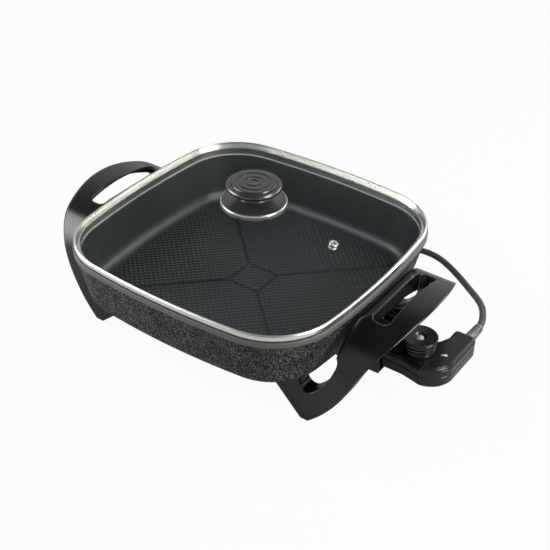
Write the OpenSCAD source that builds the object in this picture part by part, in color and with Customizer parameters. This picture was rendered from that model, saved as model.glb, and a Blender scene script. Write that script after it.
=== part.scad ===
// Square electric skillet with a domed glass lid, two handle-and-leg mouldings
// and a plug-in heat control. Millimetres, +Z up, table at z = 0.
// The frame's origin lies under the middle of the skillet with its control plugged in.

/* [Pan] */
// Half width over the rim, at the middle of a side
pan_half = 150; // [140:1:160]
// Radius of the rim's corners, seen from above
pan_corner_r = 70; // [60:1:80]
// Radius of the slightly bowed sides, seen from above
pan_side_r = 800; // [600:10:1200]
// Height of the rim above the table
rim_z = 110; // [106:0.5:113]
// Depth of the pan from its rim to its floor
pan_depth = 55; // [48:0.5:56]
// Thickness of the floor
floor_t = 4.5; // [4:0.1:6]
// Height of the smooth band under the rim
band_h = 5.2; // [3:0.1:8]
// How far the band stands proud of the wall
band_t = 1.7; // [0.8:0.1:2.5]
// Lean of the outer wall from the vertical
wall_lean = 12.5; // [9:0.5:14]
// Lean of the inner wall from the vertical
inner_lean = 10; // [8:0.5:12]
// Width of the flat top of the rim
rim_w = 6; // [5:0.1:7]
// Width of the ledge that carries the lid
seat_w = 2.5; // [2:0.1:3.5]
// Depth of that ledge below the rim
seat_d = 7; // [5:0.1:8]
// Fillet between the inner wall and the floor
fillet_r = 11; // [6:0.5:16]
// Rounding of the outer bottom edge
bottom_r = 11; // [6:0.5:14]
// Half width of the square groove in the middle of the floor
groove_half = 18; // [12:1:30]
// Width of the floor's drain grooves
groove_w = 3; // [1.5:0.1:5]
// Depth of the floor's drain grooves
groove_d = 0.6; // [0.3:0.1:1.2]

/* [Lid] */
// How far the lid's steel band stands in from the rim's edge
band_in = 1.2; // [0.4:0.1:2]
// Height of the steel band
band_z = 5.5; // [5.2:0.1:7]
// Sheet thickness of the steel band
sheet_t = 0.6; // [0.4:0.05:0.7]
// Width of the band's top lip
lip_w = 2.2; // [2:0.1:4]
// Open gap between the band and the rim
lid_gap = 1.2; // [0.8:0.1:2]
// Thickness of the glass
glass_t = 4; // [3.2:0.1:4.1]
// Rise of the glass dome
dome_h = 27.4; // [20:0.1:36]
// Distance of the steam vent from the rim
vent_in = 57; // [45:1:80]
// Radius of the vent's flange
vent_flange_r = 4.6; // [4:0.1:6]
// Radius of the vent's hole
vent_bore_r = 1.6; // [1:0.1:2.5]

/* [Lid knob] */
// Radius of the knob's skirt
skirt_r = 33; // [28:0.5:38]
// Height of the skirt with its neck
skirt_h = 12.5; // [10:0.5:15]
// Height of the skirt's upright edge
skirt_rim = 4; // [3:0.5:5]
// Radius of the neck
neck_r = 14.5; // [12:0.5:16]
// Radius of the knob's disc
disc_r = 27.5; // [24:0.5:31]
// Height from the neck's foot to the top of the disc
disc_h = 12.2; // [11:0.2:16]
// Radius of the ringed insert in the disc
insert_r = 22; // [18:0.5:22.5]
// Radius of the knob's screw
knob_screw_r = 2.5; // [2:0.1:3]

/* [Handles] */
// Height of the grip's top over the pan's rim
grip_rise = -1.8; // [-4:0.1:0]
// Radius of the grip's arch, seen from the side of the table
crown_r = 160; // [140:1:190]
// Half angle of the arch before its shoulders begin
crown_a = 21; // [18:0.5:23]
// Radius of the arch's shoulders
shoulder_r = 50; // [44:1:56]
// Splay of the legs from the vertical
leg_splay = 5.4; // [4:0.1:9]
// Depth of the moulded channel
channel_d = 17.5; // [14:0.5:19]
// Depth of the grip's edges, where the channel is shallow
grip_d = 10; // [8:0.5:12]
// Drop of the grip's inner edge, where it slopes down to the pan
grip_drop = 6.9; // [5:0.1:8]
// Thickness of the moulding's outer skin
skin_t = 3; // [2.5:0.1:4]
// Thickness of the moulding's ribs
rib_t = 3; // [2:0.1:3.2]
// Gap between the pan's rim and the handle
rim_gap = 1.5; // [1:0.1:3]
// Reach of the grip's outer edge past the pan's rim
grip_out = 55.5; // [50:0.5:60]
// Distance of a foot's outer edge from under the rim
foot_in = 17.5; // [14:0.5:21]
// Length of a foot on the table
foot_l = 8.5; // [6:0.5:12]
// Outward bulge of the legs between the foot and the grip's flare
leg_bulge = 4.5; // [2:0.1:6]
// Width of the finger slot
slot_w = 18; // [16.5:0.5:19]
// Half length of the finger slot
slot_half = 48; // [40:1:50]
// Distance of the slot's middle from the grip's middle
slot_y = 5; // [0:0.5:8]
// Radius of the slot's corners
slot_r = 6; // [3:0.5:8]
// Thickness of the wall under the slot's inner edge
wall_t = 2.4; // [2:0.1:3]
// Width of the rail between the pan and the slot
rail_w = 10.5; // [10:0.5:12]
// Radius of the handle's screws
handle_screw_r = 1.9; // [1.5:0.1:2.2]

/* [Heating element] */
// Radius of the sheathed heating rod
rod_r = 3.5; // [3:0.1:4]
// Gap between the rod's cast rib and the heads of the handle screws
loop_gap = 6.6; // [4:0.1:8]
// Corner radius of the loop
loop_r = 32; // [24:1:40]
// Half distance between the two plug pins
pin_y = 14; // [13.5:0.1:16]
// Radius of a plug pin
pin_r = 2.5; // [2:0.1:2.8]
// Free length of a plug pin
pin_l = 22; // [18:0.5:23]
// Depth of the pins and the sensor below the pan's floor
term_drop = 4.5; // [4:0.1:5.5]
// Half width of the guard around the pins, inside
guard_half = 24; // [22.5:0.5:28]
// Sheet thickness of the guard
guard_t = 1.5; // [1:0.1:2]
// Depth of the guard's floor below the pins
guard_drop = 16.5; // [16:0.5:20]

/* [Heat control] */
// Depth of the housing's bottom below the pins
case_drop = 11; // [10:0.5:13]
// Height of the housing
case_h = 21.5; // [20.5:0.1:23]
// Wall thickness of the housing
case_t = 2.2; // [1.6:0.1:2.4]
// Half width of the housing's throat
case_half = 21.5; // [21:0.5:23]
// Radius of the housing's outer corner
corner_r = 25.5; // [22:0.5:27]
// Length of the housing outside the nose
case_l = 65; // [61:0.5:69]
// Length of the arm that the cord leaves, from the axis of the pins
arm_l = 47; // [44:0.5:56]
// Width of that arm
arm_w = 22.5; // [20:0.5:25]
// Half width of the nose that plugs in
nose_half = 19; // [18.5:0.1:20]
// Gap between the end of the pan's ribs and the tip of the nose
nose_gap = 6.7; // [5.7:0.1:8]
// Length of the nose
nose_l = 25; // [22:0.5:28]
// Depth of the groove along the housing's seam
seam_in = 0.6; // [0.2:0.1:1]
// Radius of the sensor probe
probe_r = 3; // [2.5:0.1:3.2]
// Length of the probe ahead of the nose
probe_l = 62; // [50:1:64]

/* [Dial] */
// Radius of the dial's top
dial_r = 17; // [16:0.5:20]
// Height of the dial
dial_h = 15; // [13:0.5:18]
// Depth of the grooves between the dial's ribs
dial_rib = 1.5; // [0.8:0.1:2.5]
// Distance of the dial's axis from the housing's inner end
dial_in = 28.5; // [26:0.5:32]
// Radius of the dial's spindle
spindle_r = 3; // [2.5:0.1:3.5]
// Radius of the lens in the dial
lens_r = 3.8; // [3.2:0.1:4.5]
// Radius of the dish round the lens
dish_r = 6.5; // [5.5:0.1:8]

/* [Cord] */
// Diameter of the cord
cord_d = 7; // [6:0.1:7.5]
// Radius of the coil at the middle of its turns
coil_r = 36; // [33:0.5:39]
// Thickness of the tie round the coil
tie_t = 1; // [0.8:0.1:1.5]
// Length of the tapered strain relief
relief_l = 24; // [20:1:30]

/* [Hidden] */
$fn = 64;
eps = 0.01;
gap = 0.3;          // clearance between parts that don't touch
fit = 0.05;         // radial clearance of a running fit
over = 1;           // how far a cut runs past what it cuts
cord_r = cord_d / 2;

// Pan
floor_z = rim_z - pan_depth;
pan_z = floor_z - floor_t;
seat_z = rim_z - seat_d;
seat_in = rim_w + seat_w;
side_a = let (a = pan_side_r - pan_half, b = pan_side_r - pan_corner_r)
    (sqrt(2 * b * b - a * a) - a) / 2;   // corner centres at +-side_a
side_t = atan2(side_a, side_a + pan_side_r - pan_half);
wall_top = rim_z - band_h;
outer_c = [-band_t - (wall_top - pan_z - bottom_r) * tan(wall_lean) - bottom_r / cos(wall_lean),
    pan_z + bottom_r];
inner_c = [-seat_in - (seat_z - floor_z - fillet_r) * tan(inner_lean) - fillet_r / cos(inner_lean),
    floor_z + fillet_r];
function wall_x(z) = pan_half - band_t - (wall_top - z) * tan(wall_lean);
vent_x = pan_half - vent_in;

// Heating element and its terminals
term_z = pan_z - term_drop;
guard_z = term_z - guard_drop;
case_z = term_z - case_drop;
lug_r = rod_r + 2;                         // cast rib around the rod
loop_x = wall_x(pan_z) - 2;                // end of the ribs under the pan's edge
bead_l = 3;
bead_r = 4.4;
pin_x = loop_x + bead_l;                   // where the free pin starts
well_r = probe_r + gap;
well_l = probe_l + 3;                      // the probe's tip stops short of the well's end
nose_x = loop_x + nose_gap;                // tip of the nose
throat_x = nose_x + nose_l;                // where the nose widens into the housing
tip_x = nose_x - probe_l;
guard_x = [loop_x - 16, throat_x];
guard_top = case_z + case_h + 3;
guard_lip = 13;
guard_tab = 12;                            // length of the tabs that hold the guard
guard_screw_r = 1.5;
guard_head_r = guard_screw_r + 1.3;
guard_head_h = guard_screw_r + 0.3;
guard_bite = 3;                            // how deep the screws go into the pan's floor

// Handles
grip_x = pan_half + grip_out;
foot_x = pan_half - foot_in;
grip_z = rim_z + grip_rise;
grip_low_z = rim_z + grip_rise - grip_drop;
grip_c = grip_z - crown_r;
shoulder_c = [(crown_r - shoulder_r) * sin(crown_a), grip_c + (crown_r - shoulder_r) * cos(crown_a)];
inner_x = pan_half + rim_gap;
slot_x = inner_x + rail_w;
face_mid = [foot_x + 41.5, pan_z + 9.5];   // where the leg's bulge ends and the grip's flare begins
window_low = [foot_x - 5.5, pan_z - 10.5];
window_high = [foot_x + 13, pan_z + 20.5];
edge_slope = 0.3;                          // slope of the grip's inner edge down to the pan
under_slope = 0.862;                       // slope of the leg's underside
pad_x = [foot_x - 43, foot_x - 21];        // the leg's pad under the pan
boss_h = 4;
boss_r = 4.2;
pad_z = pan_z - boss_h;
head_r = 3.6;
head_h = 2.4;
pad_y = shoulder_c[0] + shoulder_r / cos(leg_splay) - (pad_z - shoulder_c[1]) * tan(leg_splay)
    - channel_d / 2;                       // middle of the leg's channel at the pad
pad_screw_x = pad_x[0] + rib_t + head_r + gap;
pad_screws = [[pad_screw_x, pad_y], [pad_screw_x + 2 * head_r + 2.4, pad_y]];
loop_reach = loop_r + lug_r + head_r + loop_gap;   // from the loop's corner centre to the first screw
loop_c = (pad_screw_x + pad_y - sqrt(2 * pow(loop_reach, 2) - pow(pad_screw_x - pad_y, 2))) / 2;
loop_half = round(2 * (loop_c + loop_r)) / 2;      // half width of the loop under the floor

// Lid
lid_z = rim_z + lid_gap;                   // underside of the band
lid_top = lid_z + band_z;
glass_low = lid_z + sheet_t + 0.15;        // underside of the glass's flat edge
edge_top = glass_low + glass_t;
glass_in = 2 * sheet_t + band_in;          // the glass's edge, clear of the band's rounding
dome_in = lip_w + band_in + 1.2;           // where the dome begins, inward of the rim
dome_p = 2.4;                              // how fast the dome falls towards its edge
dome_a = pan_half - dome_in;
dome_flat = 0.07;                          // share of the dome that is flat, under the knob
function dome_z(s) = dome_h * (1 - pow(s, dome_p));
glass_top = edge_top + dome_z(dome_flat);
vent_s = vent_x / dome_a;
vent_z = edge_top + dome_z(vent_s);
vent_tilt = atan(dome_h * dome_p * pow(vent_s, dome_p - 1) / dome_a);
vent_hole_r = vent_bore_r + 1.6;

// Lid knob
gasket_t = 1;
skirt_z = glass_top + gap;
neck_z = skirt_z + skirt_h;
knob_top = neck_z + disc_h;
skirt_t = 2.6;
gasket_r = 9;
washer_t = 1.2;
under_z = glass_top - glass_t;             // underside of the glass at its middle
screw_head_z = under_z - gasket_t - washer_t;

// Heat control
seam_z = term_z;
seam_w = 0.8;
case_x = throat_x + case_l;
dial_x = throat_x + dial_in;
case_top_z = case_z + case_h;
chamber_x = throat_x + case_t;             // where the housing's chamber begins
socket_r = pin_r + fit + 1;
socket_l = pin_l - 4;
socket_x = nose_x + 2.6;
probe_end = chamber_x + 1;
collar_r = probe_r + 2.2;
exit_x = case_x - 9.5;                       // the cord's axis in the arm
exit_z = case_z + 13.2;
relief_r = 5.6;
case_post_r = 2.6;
case_screw_r = 1.2;
case_posts = [[chamber_x + case_post_r + 0.2, 8.3], [case_x - 5.5, 8], [exit_x - 6.5, arm_l - 15]];
frame_z = case_z + case_t + 0.4;
lead_r = 1.2;
lead_drop = 5;                             // how far the wires run below the seam
lead_x = cord_r - lead_r - 0.1;            // the two wires lie side by side in the cord
lug_x = chamber_x + 1.6;                   // where a wire meets its socket's tail
tail_y = arm_l - case_t - gap - 10;        // end of the cord's sheath inside the arm

// Dial
dial_y = -2.5;
collar_h = 1;                              // raised ring of the housing under the dial
dial_z = case_top_z + collar_h + gap;
dial_top = dial_z + dial_h;
rib_count = 3;
head_t = 2.4;                              // thickness of the dial's top disc
dish_d = 2.6;
spindle_z = seam_z - 0.5;
cam_r = 6;

// Cord: the middle of the cord from the relief's end to the coil
lay_z = cord_r + 0.05;
route = [
    [221.5, 71, 48.2], [219.3, 82.2, 47], [215.5, 93, 44], [211.2, 103.3, 40.5], [205.8, 115.3, 35.5],
    [199.4, 127.8, 30], [192.1, 139.4, 25], [184.3, 150.1, 20.5], [175.9, 160.5, 16], [166.9, 171.6, 11],
    [157.4, 182, 7.2], [147, 191.8, 4.7], [135.3, 200.5, 3.8], [122.8, 208.2, 3.55], [109.5, 214.6, 3.55],
    [96, 218, 3.55], [82.5, 217.5, 3.55], [71, 212, 3.55], [62.5, 203, 3.55], [58.5, 191.5, 4.4]
];
coil_c = [18, 184];
coil_w = 2 * cord_d;
coil_z = tie_t;
plug_c = [-22, coil_c[1] - coil_r];       // where the cord enters the plug
plug_z = 7.5;
plug_w = 24;                               // width and length of the plug's grip
plug_neck = 22;                            // length of its tapered neck
blade = [16, 1.5, 6.3];
blade_y = 6.35;

// Everything is drawn round the pan's middle and then moved by this much
pan_x = (grip_x - case_x) / 2;

// ---------- shared shapes ----------

module place() translate([pan_x, 0, 0]) children();

// Arc of points about c, from angle a0 to a1 in n steps
function arc(c, r, a0, a1, n) = [for (i = [0 : n]) let (a = a0 + (a1 - a0) * i / n)
    [c[0] + r * cos(a), c[1] + r * sin(a)]];

// Arc of points from p to q that bulges by s to the right of that direction
function bow(p, q, s, n) = let (d = (q - p) / 2, l = norm(d), r = (l * l + s * s) / (2 * s),
    right = [d[1], -d[0]] / l, m = (p + q) / 2 + right * (s - r), a = asin(l / r))
    [for (i = [0 : n]) let (b = a * (2 * i / n - 1)) m + r * cos(b) * right + r * sin(b) * d / l];

// The same points without the first and the last
function inner(v) = [for (i = [1 : len(v) - 2]) v[i]];

// Carries a section round the rim's outline. The section's x is the distance outward from
// the rim, and each half may be given apart: child 0 along the sides, child 1 round the corners.
module round_rim() {
    for (k = [0 : 3]) rotate([0, 0, 90 * k]) {
        translate([pan_half - pan_side_r, 0, 0]) rotate([0, 0, -side_t])
            rotate_extrude(angle = 2 * side_t, $fn = 360) translate([pan_side_r, 0]) children(0);
        translate([side_a, side_a, 0]) rotate([0, 0, side_t])
            rotate_extrude(angle = 90 - 2 * side_t, $fn = 96)
                translate([pan_corner_r, 0]) children($children - 1);
    }
}

// A hole or a pin along X, starting at x
module along_x(r, x, l, y = 0, z = 0) translate([x, y, z]) rotate([0, 90, 0]) cylinder(r = r, h = l);

// A hole or a pin along Y, starting at y
module along_y(r, x, y, l, z = 0) translate([x, y, z]) rotate([-90, 0, 0]) cylinder(r = r, h = l);

module ring(r_out, r_in, h, z = 0) translate([0, 0, z]) difference() {
    cylinder(r = r_out, h = h);
    translate([0, 0, -over]) cylinder(r = r_in, h = h + 2 * over);
}

module rounded_rect(size, r) {
    for (x = [r, size[0] - r], y = [r, size[1] - r]) translate([x, y]) circle(r = r);
    translate([r, 0]) square([size[0] - 2 * r, size[1]]);
    translate([0, r]) square([size[0], size[1] - 2 * r]);
}

// ---------- pan and heating element ----------

module pan_section(inner) polygon(concat(
    [[inner, pan_z]],
    arc(outer_c, bottom_r, -90, -wall_lean, 8),
    [[-band_t, wall_top - band_t], [0, wall_top], [0, rim_z - 0.8], [-0.8, rim_z], [-rim_w, rim_z],
        [-rim_w, seat_z], [-seat_in, seat_z]],
    arc(inner_c, fillet_r, -inner_lean, -90, 8),
    [[inner, floor_z]]
));

// Path of the heating rod: a loop under the floor that ends in two legs towards the handle
module rod_path() {
    bend = loop_r / 2;
    leg_x = loop_half + bend;
    span = loop_half - loop_r;
    for (m = [0, 1]) mirror([0, m, 0]) {
        translate([leg_x, pin_y, term_z]) rotate([90, 0, 90])
            linear_extrude(height = loop_x - leg_x) children();
        translate([leg_x, pin_y + bend, term_z]) rotate([0, 0, 180])
            rotate_extrude(angle = 90) translate([bend, 0]) children();
        translate([loop_half, span, term_z]) rotate([90, 0, 0])
            linear_extrude(height = span - pin_y - bend) children();
        translate([span, span, term_z]) rotate_extrude(angle = 90) translate([loop_r, 0]) children();
        translate([-span, loop_half, term_z]) rotate([90, 0, 90])
            linear_extrude(height = 2 * span) children();
        translate([-span, span, term_z]) rotate([0, 0, 90])
            rotate_extrude(angle = 90) translate([loop_r, 0]) children();
    }
    translate([-loop_half, span, term_z]) rotate([90, 0, 0])
        linear_extrude(height = 2 * span) children();
}

module rib_section() {
    circle(r = lug_r);
    translate([-lug_r, 0]) square([2 * lug_r, pan_z - term_z + eps]);
}

module pan() color([0.17, 0.17, 0.18]) difference() {
    union() {
        round_rim() {
            pan_section(-pan_corner_r - 12);
            pan_section(-pan_corner_r);
        }
        translate([-side_a, -side_a, pan_z]) cube([2 * side_a, 2 * side_a, floor_t]);
        rod_path() rib_section();
        translate([loop_x - well_l, 0, term_z]) rotate([90, 0, 90])
            linear_extrude(height = well_l) rib_section();
        for (s = [-1, 1], t = [-1, 1], p = pad_screws)
            translate([s * p[0], t * p[1], pad_z]) cylinder(r = boss_r, h = boss_h + eps);
    }
    rod_path() circle(r = rod_r + fit);
    along_x(well_r, tip_x - 1, loop_x, 0, term_z);
    for (s = [-1, 1], t = [-1, 1], p = pad_screws) translate([s * p[0], t * p[1], pad_z - over])
        cylinder(r = handle_screw_r + fit, h = boss_h + over + floor_t - 1.5);
    for (t = [-1, 1]) translate([guard_x[0] + guard_tab / 2, t * (guard_half + guard_lip / 2), pan_z - over])
        cylinder(r = guard_screw_r + fit, h = over + guard_bite);
    for (k = [0 : 3]) rotate([0, 0, 90 * k]) {
        translate([groove_half - groove_w / 2, -groove_half - groove_w / 2, floor_z - groove_d])
            cube([groove_w, 2 * groove_half + groove_w, groove_d + over]);
        rotate([0, 0, 45]) translate([groove_half * sqrt(2), -groove_w / 2, floor_z - groove_d])
            cube([(side_a - groove_half) * sqrt(2) + 24, groove_w, groove_d + over]);
    }
}

module heating_element() color([0.45, 0.44, 0.43]) rod_path() circle(r = rod_r);

module terminal_beads() color([0.9, 0.88, 0.82]) for (t = [-1, 1]) translate([loop_x, t * pin_y, term_z])
    rotate([0, 90, 0]) ring(bead_r, pin_r + fit, bead_l);

module terminal_pins() color([0.75, 0.75, 0.77]) for (t = [-1, 1]) {
    along_x(pin_r, loop_x, bead_l + pin_l - 1, t * pin_y, term_z);
    translate([pin_x + pin_l - 1, t * pin_y, term_z]) rotate([0, 90, 0])
        cylinder(r1 = pin_r, r2 = pin_r - 0.8, h = 1);
}

module terminal_guard() color([0.2, 0.2, 0.21]) difference() {
    l = guard_x[1] - guard_x[0];
    w = guard_half + guard_t;
    union() {
        translate([guard_x[0], -w, guard_z - guard_t]) cube([l, 2 * w, guard_t]);
        for (m = [0, 1]) mirror([0, m, 0]) {
            translate([guard_x[0], guard_half, guard_z - guard_t])
                cube([l, guard_t, pan_z - gap - guard_z + guard_t]);
            translate([nose_x, guard_half, guard_z]) cube([guard_x[1] - nose_x, guard_t, guard_top - guard_z]);
            translate([guard_x[0], guard_half, guard_z]) cube([guard_tab, guard_t, pan_z - guard_z]);
            translate([guard_x[0], guard_half, pan_z - guard_t]) cube([guard_tab, guard_lip, guard_t]);
        }
    }
    for (t = [-1, 1]) translate([guard_x[0] + guard_tab / 2, t * (guard_half + guard_lip / 2), pan_z - guard_t - over])
        cylinder(r = guard_screw_r + fit, h = guard_t + 2 * over);
}

module screw(r, l, r_head, h_head) {
    cylinder(r = r, h = l);
    translate([0, 0, -h_head]) difference() {
        cylinder(r = r_head, h = h_head);
        for (a = [0, 90]) rotate([0, 0, a])
            translate([-r_head * 0.55, -0.4, -over]) cube([r_head * 1.1, 0.8, over + h_head / 2]);
    }
}

module guard_screws() color([0.7, 0.7, 0.72])
    for (t = [-1, 1]) translate([guard_x[0] + guard_tab / 2, t * (guard_half + guard_lip / 2), pan_z - guard_t])
        screw(guard_screw_r, guard_t + guard_bite - 0.4, guard_head_r, guard_head_h);

// ---------- handles ----------

// The arch seen along X, drawn in by t: x of the sketch is Y, y of the sketch is Z
module arch(t) {
    a = 90 - crown_a;
    tip = [shoulder_c[0] + (shoulder_r - t) * cos(leg_splay), shoulder_c[1] + (shoulder_r - t) * sin(leg_splay)];
    foot = tip[0] + (tip[1] + over) * tan(leg_splay);
    left = [-shoulder_c[0], shoulder_c[1]];
    polygon(concat(
        [[foot, -over]],
        arc(shoulder_c, shoulder_r - t, leg_splay, a, 14),
        inner(arc([0, grip_c], crown_r - t, a, 180 - a, 24)),
        arc(left, shoulder_r - t, 180 - a, 180 - leg_splay, 14),
        [[-foot, -over]]
    ));
}

module arch_prism(t) rotate([90, 0, 90]) linear_extrude(height = grip_x + 10) arch(t);

// The gap between a leg and the pan, seen along Y, grown by t
module window(t) {
    low = window_low;
    high = window_high;
    r_low = 9.5 + t;
    r_high = 8.8 + t;
    polygon(concat(
        arc(low, r_low, 180, 300, 6),
        inner(bow(low + r_low * [cos(300), sin(300)], high + r_high * [cos(-18), sin(-18)], 3.3, 8)),
        arc(high, r_high, -18, 88, 6),
        [[foot_x - 10, high[1] + r_high], [foot_x - 16 - t, pan_z + 4]]
    ));
}

// The handle and its legs seen along Y, drawn in by t
module side(t) {
    top = grip_z + 3;
    shelf = pan_z + 25.5;                  // where the moulding leaves the wall and follows its lean
    in_x = foot_x - foot_l;
    difference() {
        polygon(concat(
            [[in_x + 0.37 * t, t]],
            bow([foot_x - 0.37 * t, t], face_mid + t * [-0.93, 0.37], leg_bulge, 10),
            inner(bow(face_mid + t * [-0.93, 0.37], [grip_x, grip_z] + t * [-0.74, 0.67], -leg_bulge / 2, 8)),
            [[grip_x - 0.74 * t, grip_z + 0.67 * t], [grip_x + 2 - 0.74 * t, top],
                [inner_x + (top - grip_low_z) / edge_slope, top],
                [inner_x + t, grip_low_z + t * (edge_slope - 1.04)], [inner_x + t, shelf], [foot_x - 14, pan_z],
                [pad_x[1], pad_z - t], [pad_x[0] + t, pad_z - t],
                [pad_x[0] + t, (in_x - pad_x[0] - t) * under_slope + 1.32 * t]]
        ));
        window(t);
    }
}

module side_slab(t) rotate([90, 0, 0]) linear_extrude(height = 2 * pan_half, center = true) side(t);

module slot() translate([slot_x, slot_y - slot_half, grip_z - 2 * channel_d])
    linear_extrude(height = 3 * channel_d) rounded_rect([slot_w, 2 * slot_half], slot_r);

// The wall that hangs under the slot's inner edge
module slot_wall() translate([slot_x - wall_t, slot_y - slot_half, grip_z - 2 * channel_d])
    cube([wall_t + slot_r, 2 * slot_half, 3 * channel_d]);

// The moulding is a channel: an outer skin with a rib round its edges
module handle() difference() {
    intersection() {
        arch_prism(0);
        side_slab(0);
    }
    translate([0, 0, -over]) arch_prism(channel_d);
    difference() {
        intersection() {
            arch_prism(skin_t);
            side_slab(rib_t);
        }
        slot_wall();
    }
    difference() {
        intersection() {
            arch_prism(grip_d);
            translate([inner_x - 10, -slot_half - 12, grip_z / 2])
                cube([grip_x, 2 * slot_half + 24, grip_z]);
        }
        slot_wall();
    }
    slot();
    for (t = [-1, 1], p = pad_screws) translate([p[0], t * p[1], pad_z - rib_t - over])
        cylinder(r = handle_screw_r + gap, h = rib_t + 2 * over);
}

module handle_screws() for (t = [-1, 1], p = pad_screws) translate([p[0], t * p[1], pad_z - rib_t])
    screw(handle_screw_r, rib_t + boss_h + floor_t - 2.2, head_r, head_h);

module handle_right() color([0.06, 0.06, 0.065]) handle();
module handle_left() color([0.06, 0.06, 0.065]) mirror([1, 0, 0]) handle();
module handle_screws_right() color([0.7, 0.7, 0.72]) handle_screws();
module handle_screws_left() color([0.7, 0.7, 0.72]) mirror([1, 0, 0]) handle_screws();

// ---------- lid ----------

// Points of the rim's outline, drawn inward by d, as one closed loop
side_n = 6;
corner_n = 10;
loop_n = 4 * (side_n + corner_n);
function turn(p, k) = [p[0] * cos(90 * k) - p[1] * sin(90 * k), p[0] * sin(90 * k) + p[1] * cos(90 * k)];
function outline(d) = [for (k = [0 : 3], i = [0 : side_n + corner_n - 1])
    let (p = i < side_n
        ? let (a = -side_t + 2 * side_t * i / side_n)
            [pan_half - pan_side_r + (pan_side_r - d) * cos(a), (pan_side_r - d) * sin(a)]
        : let (a = side_t + (90 - 2 * side_t) * (i - side_n) / corner_n)
            [side_a + (pan_corner_r - d) * cos(a), side_a + (pan_corner_r - d) * sin(a)])
    turn(p, k)];
function level(d, s, z) = [for (p = outline(d)) [p[0] * s, p[1] * s, z]];

// A closed body from loops of points, one on the next
module loft(loops) {
    n = len(loops[0]);
    last = len(loops) - 1;
    polyhedron(
        points = [for (l = loops) each l],
        faces = concat(
            [[for (i = [0 : n - 1]) i]],
            [for (j = [0 : last - 1], i = [0 : n - 1]) each [
                [j * n + i, (j + 1) * n + i, (j + 1) * n + (i + 1) % n],
                [j * n + i, (j + 1) * n + (i + 1) % n, j * n + (i + 1) % n]]],
            [[for (i = [n - 1 : -1 : 0]) last * n + i]]
        )
    );
}

dome_steps = [dome_flat, 0.16, 0.28, 0.4, 0.52, 0.64, 0.75, 0.85, 0.93, 1];
module lid_glass() color([0.6, 0.68, 0.66, 0.35]) difference() {
    loft(concat(
        [for (s = dome_steps) level(dome_in, s, glass_low + dome_z(s))],
        [level(glass_in, 1, glass_low), level(glass_in, 1, edge_top)],
        [for (i = [len(dome_steps) - 1 : -1 : 0]) let (s = dome_steps[i])
            level(dome_in, s, edge_top + dome_z(s))]
    ));
    translate([0, 0, under_z - over]) cylinder(r = knob_screw_r + 1, h = glass_t + 2 * over);
    translate([vent_x, 0, vent_z]) rotate([0, vent_tilt, 0]) translate([0, 0, -glass_t - 2 * over])
        cylinder(r = vent_hole_r, h = glass_t + 4 * over);
}

module lid_band() color([0.8, 0.79, 0.76]) round_rim() polygon([
    [-rim_w - 0.4 - sheet_t, seat_z], [-rim_w - 0.4, seat_z], [-rim_w - 0.4, lid_z],
    [-band_in - sheet_t, lid_z], [-band_in, lid_z + sheet_t], [-band_in, lid_top - 2 * sheet_t],
    [-band_in - 2 * sheet_t, lid_top], [-band_in - lip_w, lid_top],
    [-band_in - lip_w, lid_top - sheet_t], [-band_in - 2 * sheet_t, lid_top - sheet_t],
    [-band_in - sheet_t, lid_top - 2 * sheet_t], [-band_in - sheet_t, lid_z + sheet_t],
    [-rim_w - 0.4 - sheet_t, lid_z + sheet_t]
]);

module vent_eyelet() color([0.85, 0.84, 0.82])
    translate([vent_x, 0, vent_z]) rotate([0, vent_tilt, 0]) rotate_extrude() polygon([
        [vent_bore_r, 0.9], [vent_flange_r - 0.6, 0.9], [vent_flange_r, 0.15],
        [vent_hole_r - fit, 0.15], [vent_hole_r - fit, -glass_t - 0.1], [vent_flange_r - 0.3, -glass_t - 0.1],
        [vent_flange_r - 0.6, -glass_t - 0.7], [vent_bore_r, -glass_t - 0.7]
    ]);

module knob_skirt() color([0.07, 0.07, 0.075]) difference() {
    rotate_extrude() difference() {
        polygon(concat(
            [[knob_screw_r + 0.5, skirt_z + gasket_t - gap], [gasket_r, skirt_z + gasket_t - gap],
                [gasket_r, skirt_z + skirt_t], [skirt_r - skirt_t, skirt_z + 0.8], [skirt_r - skirt_t, skirt_z],
                [skirt_r, skirt_z]],
            arc([skirt_r - 1.6, skirt_z + skirt_rim], 1.6, 0, 80, 4),
            inner(bow([skirt_r - 1.3, skirt_z + skirt_rim + 1.5], [neck_r + 1.2, neck_z - 3.4], -1, 6)),
            [[neck_r + 1.2, neck_z - 3.4], [neck_r + 0.2, neck_z - 2.2], [neck_r, neck_z],
                [knob_screw_r + 0.5, neck_z]]
        ));
        polygon([[gasket_r + 3, skirt_z - over], [gasket_r + 3, skirt_z + skirt_rim + 0.6],
            [skirt_r - skirt_t - 6, skirt_z + skirt_rim - 0.6], [skirt_r - skirt_t, skirt_z + skirt_rim - 1.4],
            [skirt_r - skirt_t, skirt_z - over]]);
    }
    for (k = [0 : 7]) rotate([0, 0, 45 * k + 10]) translate([skirt_r - 5, -1.2, skirt_z - over])
        cube([10, 2.4, over + 1.2]);
}

module knob_disc() color([0.07, 0.07, 0.075]) rotate_extrude() difference() {
    polygon(concat(
        [[0, neck_z], [neck_r - 1, neck_z], [neck_r - 1, neck_z + 2.4]],
        arc([disc_r - 3.2, knob_top - 4.2], 3.2, -70, 70, 8),
        [[0, knob_top - 0.6]]
    ));
    translate([-over, neck_z - over]) square([over + knob_screw_r + fit, over + 6.5]);
    translate([-over, knob_top - 2.4]) square([over + insert_r + 0.1, 5]);
}

module knob_insert() color([0.05, 0.05, 0.05]) rotate_extrude() difference() {
    translate([0, knob_top - 2.4]) square([insert_r, 2.4]);
    for (r = [8.5, 16]) translate([r, knob_top]) circle(r = 0.7, $fn = 24);
    translate([-over, knob_top - 0.5]) square([over + 4, 1]);
}

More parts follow.
